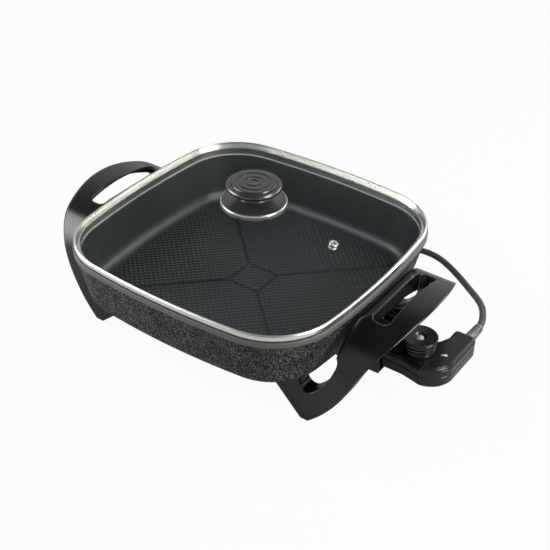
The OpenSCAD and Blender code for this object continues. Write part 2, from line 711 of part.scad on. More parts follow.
module knob_screw() color([0.75, 0.75, 0.77]) translate([0, 0, screw_head_z])
    screw(knob_screw_r, neck_z + 5.5 - screw_head_z, 4.6, 2.8);
module knob_washer() color([0.75, 0.75, 0.77]) ring(8, knob_screw_r + 0.2, washer_t, screw_head_z);
module knob_gasket_upper() color([0.85, 0.85, 0.83]) ring(gasket_r - gap, knob_screw_r + 0.5, gasket_t, glass_top);
module knob_gasket_lower() color([0.85, 0.85, 0.83])
    ring(gasket_r, knob_screw_r + 0.5, gasket_t, under_z - gasket_t);

// ---------- heat control ----------

// Outline of the housing from above, drawn in by t
module case_outline(t) {
    x = case_x - arm_w;
    polygon(concat(
        [[throat_x + t, nose_half - t], [throat_x + t, -case_half + t], [dial_x - 6, -case_half + t],
            [dial_x + 5, -case_half - 2 + t]],
        arc([case_x - corner_r, 0], corner_r - t, -84, 0, 12),
        arc([case_x - 4, arm_l - 4], 4 - t, 0, 90, 4),
        arc([x + 4, arm_l - 4], 4 - t, 90, 180, 4),
        [[x + t, 32], [x - 4 + 0.9 * t, 22.5 - 0.4 * t], [x - 7.5 + 0.7 * t, nose_half - t]]
    ));
}

// Half of the housing between two heights, its chamber open towards the seam
module case_shell(low, high, top) difference() {
    union() {
        translate([nose_x, -nose_half, low]) cube([throat_x - nose_x + over, 2 * nose_half, high - low]);
        if (!top) {
            translate([0, 0, low]) linear_extrude(height = high - low) case_outline(1);
            translate([0, 0, low + 1.2]) linear_extrude(height = high - low - 1.2 - seam_w) case_outline(0);
            translate([0, 0, high - 2]) linear_extrude(height = 2) case_outline(seam_in);
        }
        if (top) {
            translate([0, 0, low]) linear_extrude(height = high - low - 3.6) case_outline(0);
            translate([0, 0, high - 4]) linear_extrude(height = 2.6) case_outline(0.7);
            translate([0, 0, high - 2]) linear_extrude(height = 2) case_outline(2.2);
            translate([dial_x, dial_y, high - eps]) cylinder(r = dial_r - 4, h = collar_h);
            translate([dial_x + 24, dial_y + 6, high - eps]) linear_extrude(height = 0.5)
                rotate([0, 0, 30]) polygon([[-4, 0], [2.5, -2], [2.5, 2]]);
        }
    }
    difference() {
        translate([0, 0, top ? low - over : low + case_t]) linear_extrude(height = high - low - case_t + over)
            case_outline(case_t);
        for (p = case_posts) translate([p[0], p[1], low - over])
            cylinder(r = case_post_r, h = high - low + over - 0.5);
    }
    for (t = [-1, 1]) along_x(socket_r + 0.1, socket_x, chamber_x - socket_x + over, t * pin_y, term_z);
    for (t = [-1, 1]) along_x(pin_r + 0.6, nose_x - over, socket_x - nose_x + 2 * over, t * pin_y, term_z);
    along_x(collar_r + 0.1, nose_x + 4, chamber_x - nose_x, 0, term_z);
    along_x(probe_r + 0.2, nose_x - over, 8, 0, term_z);
    along_y(cord_r + 1, exit_x, arm_l - case_t - over, case_t + 2 * over, exit_z);
    if (top) translate([dial_x, dial_y, high - case_t - over])
        cylinder(r = spindle_r + fit, h = case_t + collar_h + 2 * over);
}

module case_bottom() color([0.06, 0.06, 0.065]) difference() {
    case_shell(case_z, seam_z, false);
    for (p = case_posts) translate([p[0], p[1], case_z - over]) {
        cylinder(r = case_screw_r + 0.2, h = case_h);
        cylinder(r = 2.2, h = over + 1.6);
    }
}

module case_top() color([0.06, 0.06, 0.065]) difference() {
    case_shell(seam_z, case_top_z, true);
    for (p = case_posts) translate([p[0], p[1], seam_z - over])
        cylinder(r = case_screw_r + fit, h = over + 5.5);
}

module case_screws() color([0.7, 0.7, 0.72]) for (p = case_posts) translate([p[0], p[1], case_z + 1.6])
    screw(case_screw_r, seam_z - case_z + 3, 2, 1.2);

module sensor_probe() color([0.72, 0.72, 0.74]) {
    along_x(probe_r, tip_x + probe_r, probe_end + 1 - tip_x - probe_r, 0, term_z);
    translate([tip_x + probe_r, 0, term_z]) sphere(r = probe_r);
}

module probe_collar() color([0.6, 0.6, 0.62]) translate([nose_x + 6, 0, term_z]) rotate([0, 90, 0])
    ring(collar_r, probe_r + fit, 6);

module pin_sockets() color([0.8, 0.62, 0.3]) for (t = [-1, 1]) {
    translate([socket_x + 0.2, t * pin_y, term_z]) rotate([0, 90, 0])
        ring(socket_r, pin_r + fit, socket_l - 2);
    along_x(socket_r, socket_x + socket_l - 1.8, 2, t * pin_y, term_z);
    translate([socket_x + socket_l, t * pin_y - 1.5, term_z - 0.4])
        cube([chamber_x + 3 - socket_x - socket_l, 3, 0.8]);
}

// The thermostat: a bimetal blade pushes the contact spring away from the fixed contact
frame_x = [chamber_x + 7, dial_x + 12];
contact_x = frame_x[0] + 9;                // where the contacts meet
lamp_x = 16;                               // the indicator lamp, from the dial's axis
lamp_r = 2.4;
lamp_h = 9;
module thermostat_frame() color([0.7, 0.7, 0.72]) {
    translate([frame_x[0], dial_y - 9, frame_z]) cube([frame_x[1] - frame_x[0], 18, 1]);
    translate([frame_x[0], dial_y - 5, frame_z]) cube([1, 10, 6]);
    translate([frame_x[0], dial_y - 5, frame_z + 5]) cube([5, 10, 1]);
    for (t = [-1, 1]) translate([frame_x[0] + 8, dial_y + t * 7, case_z + case_t])
        cylinder(r = 1.5, h = frame_z - case_z - case_t + eps);
}
module bimetal_blade() color([0.6, 0.5, 0.35])
    translate([frame_x[0], dial_y - 3, frame_z + 6]) cube([dial_x - frame_x[0] - 2, 6, 0.8]);
module contact_spring() color([0.8, 0.6, 0.3]) {
    translate([dial_x + 4, dial_y - 3, frame_z + 1]) cube([1, 6, 2]);
    translate([frame_x[0] + 6, dial_y - 3, frame_z + 3]) cube([dial_x + 5 - frame_x[0] - 6, 6, 0.6]);
    translate([contact_x, dial_y, frame_z + 3.6]) cylinder(r = 1.6, h = 0.8);
}
module fixed_contact() color([0.85, 0.8, 0.7]) {
    translate([contact_x, dial_y, frame_z + 1]) cylinder(r = 1.6, h = 1.7);
}
module indicator_lamp() color([0.9, 0.5, 0.25]) {
    translate([dial_x + lamp_x, dial_y - 4, case_z + case_t]) cylinder(r = lamp_r, h = lamp_h);
    translate([dial_x + lamp_x, dial_y - 4, case_z + case_t + lamp_h]) sphere(r = lamp_r, $fn = 32);
}

module lead_wires() color([0.8, 0.8, 0.78]) for (s = [-1, 1]) {
    x = exit_x + s * lead_x;
    y = s * pin_y;
    low = seam_z - lead_drop;
    along_y(lead_r, x, y, tail_y - y, exit_z);
    translate([x, y, low]) cylinder(r = lead_r, h = exit_z - low);
    along_x(lead_r, lug_x, x - lug_x, y, low);
    translate([lug_x, y, low]) cylinder(r = lead_r, h = term_z - 0.4 - low);
    for (p = [[lug_x, low], [x, low], [x, exit_z]]) translate([p[0], y, p[1]]) sphere(r = lead_r, $fn = 32);
}

module cord_clamp() color([0.5, 0.5, 0.52]) translate([exit_x, tail_y + 1.5, exit_z]) rotate([-90, 0, 0])
    ring(cord_r + 1.4, cord_r + fit, 4);

// ---------- dial ----------

module dial() color([0.06, 0.06, 0.065]) translate([dial_x, dial_y, 0]) rotate_extrude() difference() {
    step = (dial_h - head_t) / rib_count;
    polygon(concat(
        [[0, dial_z], [dial_r - 1 - dial_rib, dial_z]],
        [for (i = [0 : rib_count - 1], q = [[0, 0.9], [dial_rib, 1.7], [dial_rib, step - 0.5], [0, step]])
            [dial_r - 1 - dial_rib - (rib_count - 1 - i) * 0.35 + q[0], dial_z + i * step + q[1]]],
        [[dial_r - 1 - dial_rib, dial_top - head_t + 0.5], [dial_r, dial_top - head_t + 0.9],
            [dial_r, dial_top - 0.6], [dial_r - 0.6, dial_top], [0, dial_top]]
    ));
    translate([-over, dial_z - over]) square([over + spindle_r + fit, over + dial_h - 6]);
    polygon([[-over, dial_top - dish_d], [lens_r + 0.6, dial_top - dish_d], [dish_r, dial_top],
        [dish_r, dial_top + over], [-over, dial_top + over]]);
}

module dial_lens() color([0.85, 0.82, 0.78]) translate([dial_x, dial_y, dial_top - dish_d + gap / 2])
    rotate_extrude() intersection() {
        translate([0, 2 - lens_r * 1.2]) circle(r = lens_r * 1.2);
        square([lens_r, lens_r]);
    }

module dial_spindle() color([0.75, 0.75, 0.77]) translate([dial_x, dial_y, spindle_z])
    cylinder(r = spindle_r, h = dial_top - 6 - gap - spindle_z);

module dial_cam() color([0.85, 0.8, 0.65]) translate([dial_x, dial_y, 0]) {
    ring(cam_r, spindle_r + fit, 3, seam_z + 1);
    translate([cam_r - 1, -1.5, seam_z + 1]) cube([2.5, 3, 3]);
}

// ---------- cord and plug ----------

function unit(v) = v / norm(v);
function heading(i) = i == 0 ? [0, 1, 0] : unit(route[min(i + 1, len(route) - 1)] - route[max(i - 1, 0)]);
function hoop(p, d, r, n) = let (s = unit(cross(d, [0, 0, 1])), u = cross(s, d))
    [for (k = [0 : n - 1]) p + r * (cos(360 * k / n) * s - sin(360 * k / n) * u)];

// The relief passes through the arm's wall and is held by a flange on each side of it
module strain_relief() color([0.08, 0.08, 0.085]) translate([exit_x, arm_l, exit_z]) rotate([-90, 0, 0])
    rotate_extrude() difference() {
        polygon([[0, tail_y - arm_l], [cord_r, tail_y - arm_l], [cord_r, -case_t - 2 - gap],
            [relief_r, -case_t - 2 - gap], [relief_r, -case_t - gap], [cord_r + 1 - fit, -case_t - gap],
            [cord_r + 1 - fit, 0], [relief_r, 0], [relief_r, 2], [cord_r + 1.1, relief_l], [0, relief_l]]);
        for (i = [0 : 4]) translate([relief_r + 0.8 - i * 0.36, 4.6 + 3.8 * i]) circle(r = 1.3, $fn = 24);
    }

module cord() color([0.09, 0.1, 0.11]) {
    loft([for (i = [0 : len(route) - 1]) hoop(route[i], heading(i), cord_r, 10)]);
    along_x(cord_r, plug_c[0], coil_c[0] - plug_c[0] - 12, plug_c[1], plug_z);
}

module cord_coil() color([0.09, 0.1, 0.11]) translate([coil_c[0], coil_c[1], coil_z]) rotate_extrude()
    translate([coil_r - coil_w / 2, 0]) rounded_rect([coil_w, coil_w], cord_r);

module cord_tie() color([0.12, 0.12, 0.12]) translate([coil_c[0], coil_c[1], 0]) rotate([0, 0, 120])
    translate([coil_r, 0, coil_w / 2 + coil_z]) rotate([90, 0, 0]) linear_extrude(height = 6, center = true)
        difference() {
            translate([-coil_w / 2 - tie_t, -coil_w / 2 - tie_t])
                rounded_rect([coil_w + 2 * tie_t, coil_w + 2 * tie_t], cord_r + tie_t);
            translate([-coil_w / 2, -coil_w / 2]) rounded_rect([coil_w, coil_w], cord_r);
        }

module plug_body() color([0.07, 0.07, 0.075]) translate([plug_c[0], plug_c[1], plug_z]) {
    translate([-plug_neck - plug_w, -plug_w / 2, -plug_z]) cube([plug_w, plug_w, 2 * plug_z]);
    rotate([0, -90, 0]) cylinder(r1 = cord_r + 0.8, r2 = 6, h = plug_neck + eps);
}

module plug_blades() color([0.8, 0.7, 0.45]) for (t = [-1, 1])
    translate([plug_c[0] - plug_neck - plug_w - blade[0], plug_c[1] + t * blade_y - blade[1] / 2,
        plug_z - blade[2] / 2]) cube(blade);

place() pan();
place() heating_element();
place() terminal_beads();
place() terminal_pins();
place() terminal_guard();
place() guard_screws();
place() handle_right();
place() handle_left();
place() handle_screws_right();
place() handle_screws_left();
place() lid_glass();
place() lid_band();
place() vent_eyelet();
place() knob_skirt();
place() knob_disc();
place() knob_insert();
place() knob_screw();
place() knob_washer();
place() knob_gasket_upper();
place() knob_gasket_lower();
place() case_bottom();
place() case_top();
place() case_screws();
place() sensor_probe();
place() probe_collar();
place() pin_sockets();
place() thermostat_frame();
place() bimetal_blade();
place() contact_spring();
place() fixed_contact();
place() indicator_lamp();
place() lead_wires();
place() cord_clamp();
place() dial();
place() dial_lens();
place() dial_spindle();
place() dial_cam();
place() strain_relief();
place() cord();
place() cord_coil();
place() cord_tie();
place() plug_body();
place() plug_blades();
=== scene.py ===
import math
import bpy
from mathutils import Matrix, Vector


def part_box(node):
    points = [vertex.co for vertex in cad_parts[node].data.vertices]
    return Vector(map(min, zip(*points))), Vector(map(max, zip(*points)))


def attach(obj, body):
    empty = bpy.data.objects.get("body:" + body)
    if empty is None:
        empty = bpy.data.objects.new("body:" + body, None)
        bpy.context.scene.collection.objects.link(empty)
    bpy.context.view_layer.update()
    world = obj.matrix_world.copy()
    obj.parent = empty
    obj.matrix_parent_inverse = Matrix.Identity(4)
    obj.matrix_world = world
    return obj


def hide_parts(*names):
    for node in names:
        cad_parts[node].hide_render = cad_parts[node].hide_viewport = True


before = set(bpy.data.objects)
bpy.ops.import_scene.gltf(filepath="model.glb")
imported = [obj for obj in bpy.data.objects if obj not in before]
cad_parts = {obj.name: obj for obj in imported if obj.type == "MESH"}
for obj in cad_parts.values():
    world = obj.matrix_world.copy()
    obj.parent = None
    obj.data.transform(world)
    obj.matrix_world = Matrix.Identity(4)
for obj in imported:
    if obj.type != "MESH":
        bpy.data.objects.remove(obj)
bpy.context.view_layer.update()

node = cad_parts
mm = 0.001

# ---------------------------------------------------------------- camera
# A long lens at about table-sitting height, turned to see the front side and the control
# end of the skillet. It is set by its place, its bearing and a slight roll.
camera_at = Vector((0.5225, -0.7536, 0.7159))
camera_azimuth, camera_elevation, camera_roll = (math.radians(a) for a in (33.98, 35.42, 1.64))

camera = bpy.data.objects.new("camera", bpy.data.cameras.new("camera"))
camera.data.lens = 72.7
camera.data.sensor_width = 36
camera.data.clip_start, camera.data.clip_end = 0.05, 40
camera.matrix_world = (
    Matrix.Translation(camera_at)
    @ Matrix.Rotation(camera_azimuth, 4, "Z")
    @ Matrix.Rotation(math.pi / 2 - camera_elevation, 4, "X")
    @ Matrix.Rotation(camera_roll, 4, "Z")
)
bpy.context.scene.collection.objects.link(camera)
bpy.context.scene.camera = camera
bpy.context.scene.view_settings.view_transform = "Standard"


# ---------------------------------------------------------------- materials in general
# A material is written as sums and products of sockets. Sock wraps a shader output and
# adds Math nodes as it is used; Finish holds one material and makes every other node.
class Sock:
    def __init__(self, finish, socket):
        self.finish, self.socket = finish, socket

    def math(self, operation, *values, first=None):
        start = self if first is None else first
        return self.finish.make("Math", {"operation": operation}, start, *values)

    def __add__(self, other): return self.math("ADD", other)
    def __radd__(self, other): return self.math("ADD", other)
    def __sub__(self, other): return self.math("SUBTRACT", other)
    def __rsub__(self, other): return self.math("SUBTRACT", self, first=other)
    def __mul__(self, other): return self.math("MULTIPLY", other)
    def __rmul__(self, other): return self.math("MULTIPLY", other)
    def __truediv__(self, other): return self.math("DIVIDE", other)
    def __pow__(self, other): return self.math("POWER", other)
    def __gt__(self, other): return self.math("GREATER_THAN", other)
    def __lt__(self, other): return self.math("LESS_THAN", other)

    def least(self, other): return self.math("MINIMUM", other)
    def most(self, other): return self.math("MAXIMUM", other)
    def size(self): return self.math("ABSOLUTE")
    def sine(self): return self.math("SINE")

    def step(self, low, high):
        """0 below low, 1 above high, smooth between; low may be the larger."""
        flip = low > high
        made = self.finish.make("MapRange", {"interpolation_type": "SMOOTHSTEP"}, Value=self,
                                From_Min=min(low, high), From_Max=max(low, high))
        return 1 - made if flip else made


class Finish:
    def __init__(self, name, **constants):
        self.material = bpy.data.materials.new(name)
        self.material.use_nodes = True
        self.tree = self.material.node_tree
        self.surface = self.tree.nodes["Principled BSDF"]
        self.output = self.tree.nodes["Material Output"]
        self.set(**constants)

    def put(self, socket, value):
        if isinstance(value, Sock):
            self.tree.links.new(value.socket, socket)
        elif hasattr(socket.default_value, "__len__"):
            size = len(socket.default_value)
            value = tuple(value) if hasattr(value, "__len__") else (value,) * size
            socket.default_value = (value + (1.0,))[:size]
        else:
            socket.default_value = value

    def set(self, **values):
        for name, value in values.items():
            self.put(self.surface.inputs[name.replace("_", " ")], value)
        return self

    def make(self, kind, settings=None, *values, out=0, **named):
        """One node of any kind: its settings first, then its sockets, by order or by name."""
        made = self.tree.nodes.new("ShaderNode" + kind)
        for name, value in (settings or {}).items():
            if name == "stops":
                ramp = made.color_ramp
                while len(ramp.elements) < len(value):
                    ramp.elements.new(0.5)
                for stop, (place, colour) in zip(ramp.elements, value):
                    stop.position, stop.color = place, (*colour, 1)
            else:
                setattr(made, name, value)
        for socket, value in zip(made.inputs, values):
            self.put(socket, value)
        for name, value in named.items():
            self.put(made.inputs[name.replace("_", " ")], value)
        return Sock(self, made.outputs[out])

    def place(self):
        """The point on the piece in metres, as a vector and as its three parts."""
        point = self.make("TexCoord", out="Object")
        parts = self.make("SeparateXYZ", None, point)
        nodes = parts.socket.node.outputs
        return point, Sock(self, nodes[0]), Sock(self, nodes[1]), Sock(self, nodes[2])

    def noise(self, scale, detail=2, roughness=0.5, point=None, out=0):
        return self.make("TexNoise", None, Vector=point or self.make("TexCoord", out="Object"),
                         Scale=scale, Detail=detail, Roughness=roughness, out=out)

    def mix(self, factor, low, high):
        """A colour between two colours."""
        made = self.make("Mix", {"data_type": "RGBA"}, out="Result")
        node_ = made.socket.node
        for socket, value in zip((node_.inputs[0], node_.inputs[6], node_.inputs[7]), (factor, low, high)):
            self.put(socket, value)
        return Sock(self, node_.outputs[2])

    def bump(self, height, distance, strength=1.0, normal=None):
        made = self.make("Bump", None, Height=height, Distance=distance, Strength=strength)
        if normal is not None:
            self.put(made.socket.node.inputs["Normal"], normal)
        return made

    def soft_edge(self, radius, samples=6):
        """A normal that rounds sharp edges by this radius."""
        return self.make("Bevel", {"samples": samples}, Radius=radius)

    def on(self, *pieces):
        for piece in pieces:
            piece = node[piece] if isinstance(piece, str) else piece
            piece.data.materials.clear()
            piece.data.materials.append(self.material)
        return self


def build(name, points, faces, body, slot, smooth=True):
    """A mesh piece from points in the row frame, riding on a body."""
    mesh = bpy.data.meshes.new(name)
    mesh.from_pydata([tuple(p) for p in points], [], faces)
    mesh.update()
    if smooth:
        mesh.shade_smooth()
    piece = bpy.data.objects.new(name, mesh)
    bpy.context.scene.collection.objects.link(piece)
    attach(piece, body)
    return piece


# ---------------------------------------------------------------- floor and lights
# A pale table top in a light room with a dark ceiling. Two tall soft boxes stand on the left
# and on the right, a small one hangs high behind the skillet and a wide one stands low there.
# The floor and the room are white to the camera alone, and weaker in mirrors and glass.
floor_white = 0.42
glow_seen = 0.945
glow_mirrored = 0.10

floor = Finish("floor", Base_Color=floor_white, Roughness=0.6, Specular_IOR_Level=0.2)
path = floor.make("LightPath")
by_camera, by_mirror, by_glass = (
    Sock(floor, path.socket.node.outputs[f"Is {ray} Ray"]) for ray in ("Camera", "Glossy", "Transmission"))
glow = floor.make("Emission", None, Color=1.0, Strength=1.0)
floor.put(floor.output.inputs["Surface"], floor.make(
    "MixShader", None, (by_camera * glow_seen + (by_mirror + by_glass) * glow_mirrored).least(glow_seen),
    Sock(floor, floor.surface.outputs[0]), glow))
bpy.ops.mesh.primitive_plane_add(size=12, location=(0, 0, -0.0002))
ground = bpy.context.object
ground.name = "floor"
floor.on(ground)

wall_light, ceiling_light = 0.62, 0.04
wall_top = (0.60, 0.84)

world = bpy.data.worlds.new("studio")
bpy.context.scene.world = world
world.use_nodes = True
room = world.node_tree
room_nodes = {kind: room.nodes.new("ShaderNode" + kind)
              for kind in ("LightPath", "TexCoord", "SeparateXYZ", "MapRange", "MixShader")}
backdrop = room.nodes.new("ShaderNodeBackground")
backdrop.inputs["Color"].default_value = (1, 1, 1, 1)
ambient = room.nodes["Background"]
ambient.inputs["Color"].default_value = (0.94, 0.97, 1.0, 1)
fade = room_nodes["MapRange"]
fade.interpolation_type = "SMOOTHSTEP"
fade.inputs["From Min"].default_value, fade.inputs["From Max"].default_value = wall_top
fade.inputs["To Min"].default_value, fade.inputs["To Max"].default_value = wall_light, ceiling_light
for start, end in (
    (room_nodes["TexCoord"].outputs["Generated"], room_nodes["SeparateXYZ"].inputs[0]),
    (room_nodes["SeparateXYZ"].outputs["Z"], fade.inputs["Value"]),
    (fade.outputs[0], ambient.inputs["Strength"]),
    (room_nodes["LightPath"].outputs["Is Camera Ray"], room_nodes["MixShader"].inputs[0]),
    (ambient.outputs[0], room_nodes["MixShader"].inputs[1]),
    (backdrop.outputs[0], room_nodes["MixShader"].inputs[2]),
    (room_nodes["MixShader"].outputs[0], room.nodes["World Output"].inputs["Surface"]),
):
    room.links.new(start, end)


def soft_box(name, bearing, height, distance, size, power, colour=(1, 1, 1)):
    """A soft box aimed at the skillet from a bearing (0 along +X, 90 along +Y) and a height, in degrees."""
    light = bpy.data.lights.new(name, "AREA")
    light.shape, light.size, light.size_y = "RECTANGLE", size[0], size[1]
    light.energy, light.color = power, colour
    lamp = bpy.data.objects.new(name, light)
    bpy.context.scene.collection.objects.link(lamp)
    turn, rise = math.radians(bearing), math.radians(height)
    aim = Vector((0, 0, 0.08))
    away = Vector((math.cos(turn) * math.cos(rise), math.sin(turn) * math.cos(rise), math.sin(rise)))
    lamp.location = aim + distance * away
    lamp.rotation_mode = "QUATERNION"
    lamp.rotation_quaternion = away.to_track_quat("Z", "Y")
    return lamp


soft_box("left", -150, 22, 1.3, (0.8, 1.15), 18, (0.98, 0.99, 1))
soft_box("right", 4, 26, 1.3, (0.5, 0.75), 12, (1, 0.985, 0.96))
soft_box("back", 36, 60, 1.5, (0.5, 0.4), 9, (1, 0.99, 0.97))
soft_box("behind", 62, 22, 1.6, (0.9, 0.4), 8, (1, 0.99, 0.97))


# ---------------------------------------------------------------- cord
# A round two-wire mains lead in a matte black jacket, 7 mm thick. It leaves the control's
# relief, sinks to the table and ends in a tied coil of three turns and the wall plug.
pan_low, pan_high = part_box("pan")
pan_mid = (pan_low.x + pan_high.x) / 2
cord_d = 7 * mm
route = [
    (221.5, 71, 48.2), (219.3, 82.2, 47), (215.5, 93, 44), (211.2, 103.3, 40.5), (205.8, 115.3, 35.5),
    (199.4, 127.8, 30), (192.1, 139.4, 25), (184.3, 150.1, 20.5), (175.9, 160.5, 16), (166.9, 171.6, 11),
    (157.4, 182, 7.2), (147, 191.8, 4.7), (135.3, 200.5, 3.8), (122.8, 208.2, 3.55), (109.5, 214.6, 3.55),
    (96, 218, 3.55), (82.5, 217.5, 3.55), (71, 212, 3.55), (62.5, 203, 3.55), (58.5, 191.5, 4.4),
]
coil_middle = (18, 184)
coil_inner, coil_outer = 32.5, 39.5
layer_low, layer_high = 4.5, 11.5
coil_start, coil_turned, turn_step = 10.5, 1180.5, 15
first_out = 1.9
to_inner, to_upper, to_outer = (318, 360), (620, 680), (950, 1010)
lead_out = [(8, 145.2, 10.8), (-6, 146.7, 8.8)]
plug_entry = (-22, 148, 7.5)


def ease(value, low, high):
    t = min(1, max(0, (value - low) / (high - low)))
    return t * t * (3 - 2 * t)


def turns():
    """The coil's turns: lower outer, lower inner, upper inner, and a part turn upper outer."""
    for turned in range(turn_step, int(coil_turned) + 1, turn_step):
        a = math.radians(coil_start - turned)
        r = coil_outer + first_out * (1 - ease(turned, 0, 40))
        r += (coil_inner - coil_outer) * ease(turned, *to_inner)
        r += (coil_outer - coil_inner) * ease(turned, *to_outer)
        z = layer_low + (layer_high - layer_low) * ease(turned, *to_upper)
        yield coil_middle[0] + r * math.cos(a), coil_middle[1] + r * math.sin(a), z


def smooth_line(points, steps=4):
    """A Catmull-Rom curve through the points."""
    points = [Vector(p) for p in points]
    points = [2 * points[0] - points[1], *points, 2 * points[-1] - points[-2]]
    line = []
    for a, b, c, d in zip(points, points[1:], points[2:], points[3:]):
        for k in range(steps):
            t = k / steps
            line.append(0.5 * (2 * b + (c - a) * t + (2 * a - 5 * b + 4 * c - d) * t * t
                               + (3 * b - a - 3 * c + d) * t ** 3))
    return line + [points[-2]]


def in_row(points):
    return [Vector((p[0] * mm + pan_mid, p[1] * mm, p[2] * mm)) for p in points]


cord_line = smooth_line(in_row([*route, *turns(), *lead_out, plug_entry]))
cord_length = sum((b - a).length for a, b in zip(cord_line, cord_line[1:]))
cord_curve = bpy.data.curves.new("cord_line", "CURVE")
cord_curve.dimensions = "3D"
cord_curve.bevel_depth = cord_d / 2
cord_curve.bevel_resolution = 6
cord_curve.use_fill_caps = True
spline = cord_curve.splines.new("POLY")
spline.points.add(len(cord_line) - 1)
for point, p in zip(spline.points, cord_line):
    point.co = (*p, 1)
spline.use_smooth = True
cord_form = bpy.data.objects.new("cord_form", cord_curve)
bpy.context.scene.collection.objects.link(cord_form)
bpy.context.view_layer.update()
cord_tube = cord_form.evaluated_get(bpy.context.evaluated_depsgraph_get())
cord_mesh = bpy.data.meshes.new_from_object(cord_tube)
cord_mesh.shade_smooth()
bpy.data.objects.remove(cord_form)
cord = bpy.data.objects.new("mains_cord", cord_mesh)
bpy.context.scene.collection.objects.link(cord)
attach(cord, "control")
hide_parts("cord", "cord_coil")
tuple(cord_line[0])
[tuple(p) for p in cord_line]

jacket = Finish("cord_jacket", Metallic=0.0, IOR=1.5)
grain = jacket.noise(900, 3, 0.6)
wear = jacket.noise(35, 3, 0.6)
jacket.set(Base_Color=jacket.mix(wear.step(0.35, 0.75), (0.020, 0.021, 0.024), (0.036, 0.037, 0.040)),
           Roughness=0.38 + 0.16 * wear, Normal=jacket.bump(grain, 0.00008))
jacket.on(cord, "plug_body")

relief = Finish("relief_pvc", IOR=1.5)
relief_grain = relief.noise(300, 3, 0.6)
relief.set(Base_Color=relief.mix(relief_grain, (0.07, 0.072, 0.075), (0.17, 0.172, 0.176)),
           Roughness=0.28 + 0.12 * relief_grain,
           Normal=relief.bump(relief_grain, 0.0001, normal=relief.soft_edge(0.0006)))
relief.on("strain_relief")

tie_skin = Finish("tie_plastic")
tie_skin.set(Base_Color=tie_skin.mix(tie_skin.noise(400), (0.012, 0.012, 0.013), (0.03, 0.03, 0.03)),
             Roughness=0.3 + 0.2 * tie_skin.noise(200))
tie_skin.on("cord_tie")

blade_metal = Finish("blade_brass", Metallic=1.0)
scratch = blade_metal.noise(600, 4, 0.7)
blade_metal.set(Base_Color=blade_metal.mix(scratch, (0.62, 0.46, 0.24), (0.78, 0.62, 0.36)),
                Roughness=0.22 + 0.2 * scratch, Normal=blade_metal.bump(scratch, 0.00004))
blade_metal.on("plug_blades", "pin_sockets", "fixed_contact")


# ---------------------------------------------------------------- pan
# A die-cast aluminium pan. Inside it has a dark non-stick coat over a waffle-pressed floor;
# outside it is sprayed with black speckled enamel, with a smooth band under the rim.
rim_z = pan_high.z
pan_half = 0.150
floor_top = 55 * mm
corner_mid = 76 * mm
side_radius, side_half = 800 * mm, 83 * mm
wall_in, wall_slope = 5.2 * mm, 0.205
groove_square, diagonal = 18 * mm, 0.707
pitch = 6.8 * mm


def reach_of(finish, x, y):
    """Distance outward, as if the pan's outline were straight: pan_half at the rim everywhere."""
    x, y = (x - pan_mid).size(), y.size()
    corner = ((x - corner_mid).most(0) ** 2 + (y - corner_mid).most(0) ** 2) ** 0.5
    side = x.most(y)
    inside = side.least(corner_mid)
    bow = (x.least(y)).least(side_half)
    return inside + (side - corner_mid).most(0).most(corner) + bow * bow / (2 * side_radius)


coat = Finish("pan_coat", Metallic=0.0, IOR=1.5, Specular_IOR_Level=0.42)
point, px, py, pz = coat.place()
reach = reach_of(coat, px, py)
wall_mid = pan_half - wall_in - (rim_z - pz) * wall_slope
outside = (reach - wall_mid).step(-0.2 * mm, 0.2 * mm)
band = outside * pz.step(rim_z - 5.6 * mm, rim_z - 5 * mm)
# inside: the pressed waffle, its raised cells drawn lighter as painted highlight and its grooves drawn dark
# as painted shade, and the coat's fine grain
per_metre = 2 * math.pi / pitch
waffle = ((px - pan_mid) * per_metre).sine() * (py * per_metre).sine()
on_floor = pz.step(floor_top + 0.6 * mm, floor_top + 0.1 * mm)
across, along = (px - pan_mid).size(), py.size()
off_middle = across.most(along)
to_groove = ((across - along).size() * diagonal + (off_middle < groove_square) * 1.0).least(
    (off_middle - groove_square).size())
groove_shade = on_floor * to_groove.step(2.8 * mm, 1.1 * mm)
fine = coat.noise(1400, 3, 0.6, point)
cloud = coat.noise(14, 3, 0.6, point)
patch = coat.noise(34, 3, 0.65, point)
# outside: light flecks in the enamel and its orange-peel surface, glossy and matt mixed
peel = coat.noise(300, 3, 0.6, point)
fleck = coat.noise(680, 2, 0.75, point)
dots = fleck.step(0.50, 0.58) * patch.step(0.10, 0.55)
inner_colour = coat.mix(cloud, (0.016, 0.018, 0.020), (0.024, 0.027, 0.030))
# painted highlight: the waffle's raised cells are drawn lighter than the hollows between them
cell_colour = coat.mix(on_floor * waffle.step(-0.3, 0.9) * 0.75, inner_colour, (0.034, 0.041, 0.045))
# painted shade: the floor's grooves are drawn darker
cell_colour = coat.mix(groove_shade * 0.85, cell_colour, (0.006, 0.008, 0.011))
outer_colour = coat.mix(dots, (0.002, 0.002, 0.0022), (0.14, 0.137, 0.144))
band_colour = coat.mix(fine, (0.085, 0.082, 0.076), (0.12, 0.115, 0.108))
# a painted highlight: a lighter colour, with a glossier coat, along the line where the inner wall bends into
# the floor
fillet_highlight = ((1 - outside) * pz.step(floor_top - 0.2 * mm, floor_top + 3 * mm)
        * pz.step(floor_top + 13 * mm, floor_top + 5 * mm))
cell_colour = coat.mix(fillet_highlight * (0.02 + 0.5 * cloud), cell_colour, (0.14, 0.155, 0.165))
colour = coat.mix(band, coat.mix(outside, cell_colour, outer_colour), band_colour)
height = ((1 - outside) * (on_floor * waffle * 1.3 + fine * 0.15)
          + outside * (1 - band) * (peel * 3.4 + fleck * 1.6) + fine * 0.05)
coat.set(Base_Color=colour,
         Roughness=0.36 + 0.12 * cloud - 0.12 * outside + 0.22 * band - 0.06 * fillet_highlight,
         Normal=coat.bump(height, 0.00026, normal=coat.soft_edge(0.0012)))
matt = coat.make("BsdfDiffuse", None, Color=outer_colour)
coat.put(coat.output.inputs["Surface"], coat.make(
    "MixShader", None, outside * (1 - band) * 0.6, Sock(coat, coat.surface.outputs[0]), matt))
coat.on("pan")


